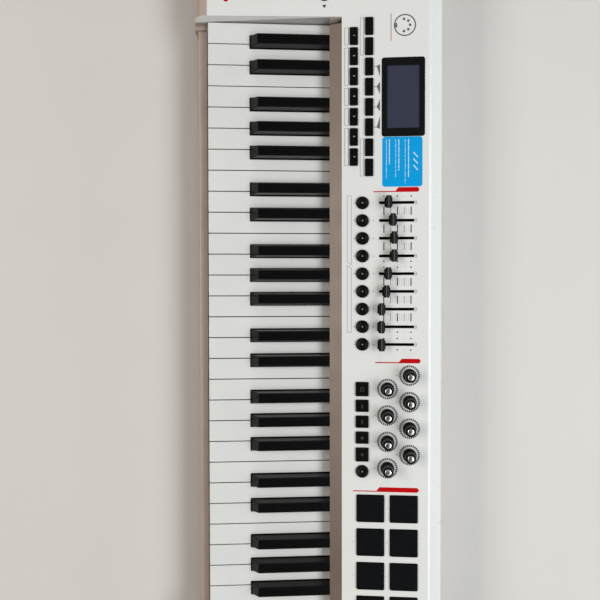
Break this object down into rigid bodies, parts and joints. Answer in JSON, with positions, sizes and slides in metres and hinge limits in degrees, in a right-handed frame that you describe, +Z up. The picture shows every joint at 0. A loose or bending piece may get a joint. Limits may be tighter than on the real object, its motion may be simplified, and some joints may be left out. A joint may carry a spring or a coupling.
{
  "type": "midi keyboard",
  "caption": "Table-top MIDI controller keyboard with piano-size keys, pads, sliders, knobs, buttons, a display, pitch and modulation wheels, and sockets on the back.",
  "frame": {"origin": "centre of the bounding box's bottom, on the surface the feet stand on", "axes": "+X to the player's right along the keys, +Y away from the player, +Z up"},
  "size_m": [0.835, 0.2772, 0.1019],
  "materials": {
    "case_white": "satin moulded",
    "case_silver": "fine texture, warm silver",
    "ivory_plastic": "polished",
    "ebony_plastic": "polished",
    "control_black": "satin",
    "knob_black": "soft touch",
    "pad_rubber": "matte silicone",
    "wheel_rubber": "matte",
    "frame_steel": "zinc plated",
    "circuit_board": "solder mask",
    "inner_plastic": "moulded",
    "screen_glass": "liquid crystal panel",
    "bezel_black": "glossy",
    "socket_plastic": "moulded",
    "foot_rubber": "matte",
    "screw_steel": "zinc plated"
  },
  "bodies": {
    "case": {"bottom_case": "case_silver", "top_case": "case_white", "key_surround": "case_silver", "keybed_frame": "frame_steel", "key_pivot_rod": "frame_steel", "key_springs": "frame_steel", "key_contact_board": "circuit_board", "control_board": "circuit_board", "slider_tracks": "inner_plastic", "encoder_bodies": "inner_plastic", "display_module": "screen_glass", "display_window": "bezel_black", "wheel_bracket": "inner_plastic", "rear_sockets": "socket_plastic", "rubber_feet": "foot_rubber", "case_screws": "screw_steel"},
    "key_c": {"key_c": "ivory_plastic"},
    "key_d": {"key_d": "ivory_plastic"},
    "key_e": {"key_e": "ivory_plastic"},
    "key_f": {"key_f": "ivory_plastic"},
    "key_g": {"key_g": "ivory_plastic"},
    "key_a": {"key_a": "ivory_plastic"},
    "key_b": {"key_b": "ivory_plastic"},
    "key_c_sharp": {"key_c_sharp": "ebony_plastic"},
    "key_d_sharp": {"key_d_sharp": "ebony_plastic"},
    "key_f_sharp": {"key_f_sharp": "ebony_plastic"},
    "key_g_sharp": {"key_g_sharp": "ebony_plastic"},
    "key_a_sharp": {"key_a_sharp": "ebony_plastic"},
    "slider_cap_1": {"slider_cap_1": "control_black"},
    "slider_cap_2": {"slider_cap_2": "control_black"},
    "slider_cap_3": {"slider_cap_3": "control_black"},
    "slider_cap_4": {"slider_cap_4": "control_black"},
    "slider_cap_5": {"slider_cap_5": "control_black"},
    "slider_cap_6": {"slider_cap_6": "control_black"},
    "slider_cap_7": {"slider_cap_7": "control_black"},
    "slider_cap_8": {"slider_cap_8": "control_black"},
    "slider_cap_9": {"slider_cap_9": "control_black"},
    "knob_1": {"knob_1": "knob_black"},
    "knob_2": {"knob_2": "knob_black"},
    "knob_3": {"knob_3": "knob_black"},
    "knob_4": {"knob_4": "knob_black"},
    "knob_5": {"knob_5": "knob_black"},
    "knob_6": {"knob_6": "knob_black"},
    "knob_7": {"knob_7": "knob_black"},
    "knob_8": {"knob_8": "knob_black"},
    "pad_1": {"pad_1": "pad_rubber"},
    "pad_2": {"pad_2": "pad_rubber"},
    "pad_3": {"pad_3": "pad_rubber"},
    "pad_4": {"pad_4": "pad_rubber"},
    "pad_5": {"pad_5": "pad_rubber"},
    "pad_6": {"pad_6": "pad_rubber"},
    "pad_7": {"pad_7": "pad_rubber"},
    "pad_8": {"pad_8": "pad_rubber"},
    "pitch_wheel": {"pitch_wheel": "wheel_rubber"},
    "mod_wheel": {"mod_wheel": "wheel_rubber"},
    "power_switch": {"power_switch": "control_black"},
    "function_buttons": {"function_buttons": "control_black"},
    "slider_buttons": {"slider_buttons": "control_black"},
    "transport_buttons": {"transport_buttons": "control_black"},
    "octave_buttons": {"octave_buttons": "control_black"}
  },
  "joints": [
    {"name": "key_c_press", "type": "hinge", "parent": "case", "child": "key_c", "pos_m": [0, 0.0615, 0.046], "axis": [1, 0, 0], "range_deg": [0, 3.1], "stiffness_Nm_per_rad": 5, "springref_deg": -5.16},
    {"name": "key_d_press", "type": "hinge", "parent": "case", "child": "key_d", "pos_m": [0, 0.0615, 0.046], "axis": [1, 0, 0], "range_deg": [0, 3.1], "stiffness_Nm_per_rad": 5, "springref_deg": -5.16},
    {"name": "key_e_press", "type": "hinge", "parent": "case", "child": "key_e", "pos_m": [0, 0.0615, 0.046], "axis": [1, 0, 0], "range_deg": [0, 3.1], "stiffness_Nm_per_rad": 5, "springref_deg": -5.16},
    {"name": "key_f_press", "type": "hinge", "parent": "case", "child": "key_f", "pos_m": [0, 0.0615, 0.046], "axis": [1, 0, 0], "range_deg": [0, 3.1], "stiffness_Nm_per_rad": 5, "springref_deg": -5.16},
    {"name": "key_g_press", "type": "hinge", "parent": "case", "child": "key_g", "pos_m": [0, 0.0615, 0.046], "axis": [1, 0, 0], "range_deg": [0, 3.1], "stiffness_Nm_per_rad": 5, "springref_deg": -5.16},
    {"name": "key_a_press", "type": "hinge", "parent": "case", "child": "key_a", "pos_m": [0, 0.0615, 0.046], "axis": [1, 0, 0], "range_deg": [0, 3.1], "stiffness_Nm_per_rad": 5, "springref_deg": -5.16},
    {"name": "key_b_press", "type": "hinge", "parent": "case", "child": "key_b", "pos_m": [0, 0.0615, 0.046], "axis": [1, 0, 0], "range_deg": [0, 3.1], "stiffness_Nm_per_rad": 5, "springref_deg": -5.16},
    {"name": "key_c_sharp_press", "type": "hinge", "parent": "case", "child": "key_c_sharp", "pos_m": [0, 0.0615, 0.046], "axis": [1, 0, 0], "range_deg": [0, 3.1], "stiffness_Nm_per_rad": 5, "springref_deg": -5.16},
    {"name": "key_d_sharp_press", "type": "hinge", "parent": "case", "child": "key_d_sharp", "pos_m": [0, 0.0615, 0.046], "axis": [1, 0, 0], "range_deg": [0, 3.1], "stiffness_Nm_per_rad": 5, "springref_deg": -5.16},
    {"name": "key_f_sharp_press", "type": "hinge", "parent": "case", "child": "key_f_sharp", "pos_m": [0, 0.0615, 0.046], "axis": [1, 0, 0], "range_deg": [0, 3.1], "stiffness_Nm_per_rad": 5, "springref_deg": -5.16},
    {"name": "key_g_sharp_press", "type": "hinge", "parent": "case", "child": "key_g_sharp", "pos_m": [0, 0.0615, 0.046], "axis": [1, 0, 0], "range_deg": [0, 3.1], "stiffness_Nm_per_rad": 5, "springref_deg": -5.16},
    {"name": "key_a_sharp_press", "type": "hinge", "parent": "case", "child": "key_a_sharp", "pos_m": [0, 0.0615, 0.046], "axis": [1, 0, 0], "range_deg": [0, 3.1], "stiffness_Nm_per_rad": 5, "springref_deg": -5.16},
    {"name": "slider_cap_1_slide", "type": "slide", "parent": "case", "child": "slider_cap_1", "axis": [0, 0.9903, 0.1392], "range_m": [-0.0078, 0.0262]},
    {"name": "slider_cap_2_slide", "type": "slide", "parent": "case", "child": "slider_cap_2", "axis": [0, 0.9903, 0.1392], "range_m": [-0.0125, 0.0215]},
    {"name": "slider_cap_3_slide", "type": "slide", "parent": "case", "child": "slider_cap_3", "axis": [0, 0.9903, 0.1392], "range_m": [-0.0137, 0.0203]},
    {"name": "slider_cap_4_slide", "type": "slide", "parent": "case", "child": "slider_cap_4", "axis": [0, 0.9903, 0.1392], "range_m": [-0.0136, 0.0204]},
    {"name": "slider_cap_5_slide", "type": "slide", "parent": "case", "child": "slider_cap_5", "axis": [0, 0.9903, 0.1392], "range_m": [-0.0073, 0.0267]},
    {"name": "slider_cap_6_slide", "type": "slide", "parent": "case", "child": "slider_cap_6", "axis": [0, 0.9903, 0.1392], "range_m": [-0.0055, 0.0285]},
    {"name": "slider_cap_7_slide", "type": "slide", "parent": "case", "child": "slider_cap_7", "axis": [0, 0.9903, 0.1392], "range_m": [-0.0003, 0.0337]},
    {"name": "slider_cap_8_slide", "type": "slide", "parent": "case", "child": "slider_cap_8", "axis": [0, 0.9903, 0.1392], "range_m": [0, 0.034]},
    {"name": "slider_cap_9_slide", "type": "slide", "parent": "case", "child": "slider_cap_9", "axis": [0, 0.9903, 0.1392], "range_m": [-0.0004, 0.0336]},
    {"name": "knob_1_turn", "type": "hinge", "parent": "case", "child": "knob_1", "pos_m": [0.11955, 0.07411, 0.08097], "axis": [0, -0.1392, 0.9903], "continuous": true},
    {"name": "knob_2_turn", "type": "hinge", "parent": "case", "child": "knob_2", "pos_m": [0.14885, 0.07411, 0.08097], "axis": [0, -0.1392, 0.9903], "continuous": true},
    {"name": "knob_3_turn", "type": "hinge", "parent": "case", "child": "knob_3", "pos_m": [0.17815, 0.07411, 0.08097], "axis": [0, -0.1392, 0.9903], "continuous": true},
    {"name": "knob_4_turn", "type": "hinge", "parent": "case", "child": "knob_4", "pos_m": [0.20745, 0.07411, 0.08097], "axis": [0, -0.1392, 0.9903], "continuous": true},
    {"name": "knob_5_turn", "type": "hinge", "parent": "case", "child": "knob_5", "pos_m": [0.10445, 0.09808, 0.08434], "axis": [0, -0.1392, 0.9903], "continuous": true},
    {"name": "knob_6_turn", "type": "hinge", "parent": "case", "child": "knob_6", "pos_m": [0.13375, 0.09808, 0.08434], "axis": [0, -0.1392, 0.9903], "continuous": true},
    {"name": "knob_7_turn", "type": "hinge", "parent": "case", "child": "knob_7", "pos_m": [0.16305, 0.09808, 0.08434], "axis": [0, -0.1392, 0.9903], "continuous": true},
    {"name": "knob_8_turn", "type": "hinge", "parent": "case", "child": "knob_8", "pos_m": [0.19235, 0.09808, 0.08434], "axis": [0, -0.1392, 0.9903], "continuous": true},
    {"name": "pad_1_press", "type": "slide", "parent": "case", "child": "pad_1", "axis": [0, 0.1392, -0.9903], "range_m": [0, 0.001], "stiffness_N_per_m": 2000, "springref_m": -0.0005},
    {"name": "pad_2_press", "type": "slide", "parent": "case", "child": "pad_2", "axis": [0, 0.1392, -0.9903], "range_m": [0, 0.001], "stiffness_N_per_m": 2000, "springref_m": -0.0005},
    {"name": "pad_3_press", "type": "slide", "parent": "case", "child": "pad_3", "axis": [0, 0.1392, -0.9903], "range_m": [0, 0.001], "stiffness_N_per_m": 2000, "springref_m": -0.0005},
    {"name": "pad_4_press", "type": "slide", "parent": "case", "child": "pad_4", "axis": [0, 0.1392, -0.9903], "range_m": [0, 0.001], "stiffness_N_per_m": 2000, "springref_m": -0.0005},
    {"name": "pad_5_press", "type": "slide", "parent": "case", "child": "pad_5", "axis": [0, 0.1392, -0.9903], "range_m": [0, 0.001], "stiffness_N_per_m": 2000, "springref_m": -0.0005},
    {"name": "pad_6_press", "type": "slide", "parent": "case", "child": "pad_6", "axis": [0, 0.1392, -0.9903], "range_m": [0, 0.001], "stiffness_N_per_m": 2000, "springref_m": -0.0005},
    {"name": "pad_7_press", "type": "slide", "parent": "case", "child": "pad_7", "axis": [0, 0.1392, -0.9903], "range_m": [0, 0.001], "stiffness_N_per_m": 2000, "springref_m": -0.0005},
    {"name": "pad_8_press", "type": "slide", "parent": "case", "child": "pad_8", "axis": [0, 0.1392, -0.9903], "range_m": [0, 0.001], "stiffness_N_per_m": 2000, "springref_m": -0.0005},
    {"name": "function_buttons_press", "type": "slide", "parent": "case", "child": "function_buttons", "axis": [0, 0.1392, -0.9903], "range_m": [0, 0.0012], "stiffness_N_per_m": 1500, "springref_m": -0.0006},
    {"name": "slider_buttons_press", "type": "slide", "parent": "case", "child": "slider_buttons", "axis": [0, 0.1392, -0.9903], "range_m": [0, 0.0012], "stiffness_N_per_m": 1500, "springref_m": -0.0006},
    {"name": "transport_buttons_press", "type": "slide", "parent": "case", "child": "transport_buttons", "axis": [0, 0.1392, -0.9903], "range_m": [0, 0.0012], "stiffness_N_per_m": 1500, "springref_m": -0.0006},
    {"name": "octave_buttons_press", "type": "slide", "parent": "case", "child": "octave_buttons", "axis": [0, 0.1108, -0.9938], "range_m": [0, 0.0012], "stiffness_N_per_m": 1500, "springref_m": -0.0006},
    {"name": "pitch_wheel_turn", "type": "hinge", "parent": "case", "child": "pitch_wheel", "pos_m": [-0.37475, -0.06069, 0.0475], "axis": [1, 0, 0], "range_deg": [-35, 35], "stiffness_Nm_per_rad": 0.03},
    {"name": "mod_wheel_turn", "type": "hinge", "parent": "case", "child": "mod_wheel", "pos_m": [-0.32875, -0.06069, 0.0475], "axis": [1, 0, 0], "range_deg": [-35, 35]},
    {"name": "power_switch_rock", "type": "hinge", "parent": "case", "child": "power_switch", "pos_m": [-0.396, 0.1345, 0.042], "axis": [1, 0, 0], "range_deg": [-16, 0]}
  ]
}
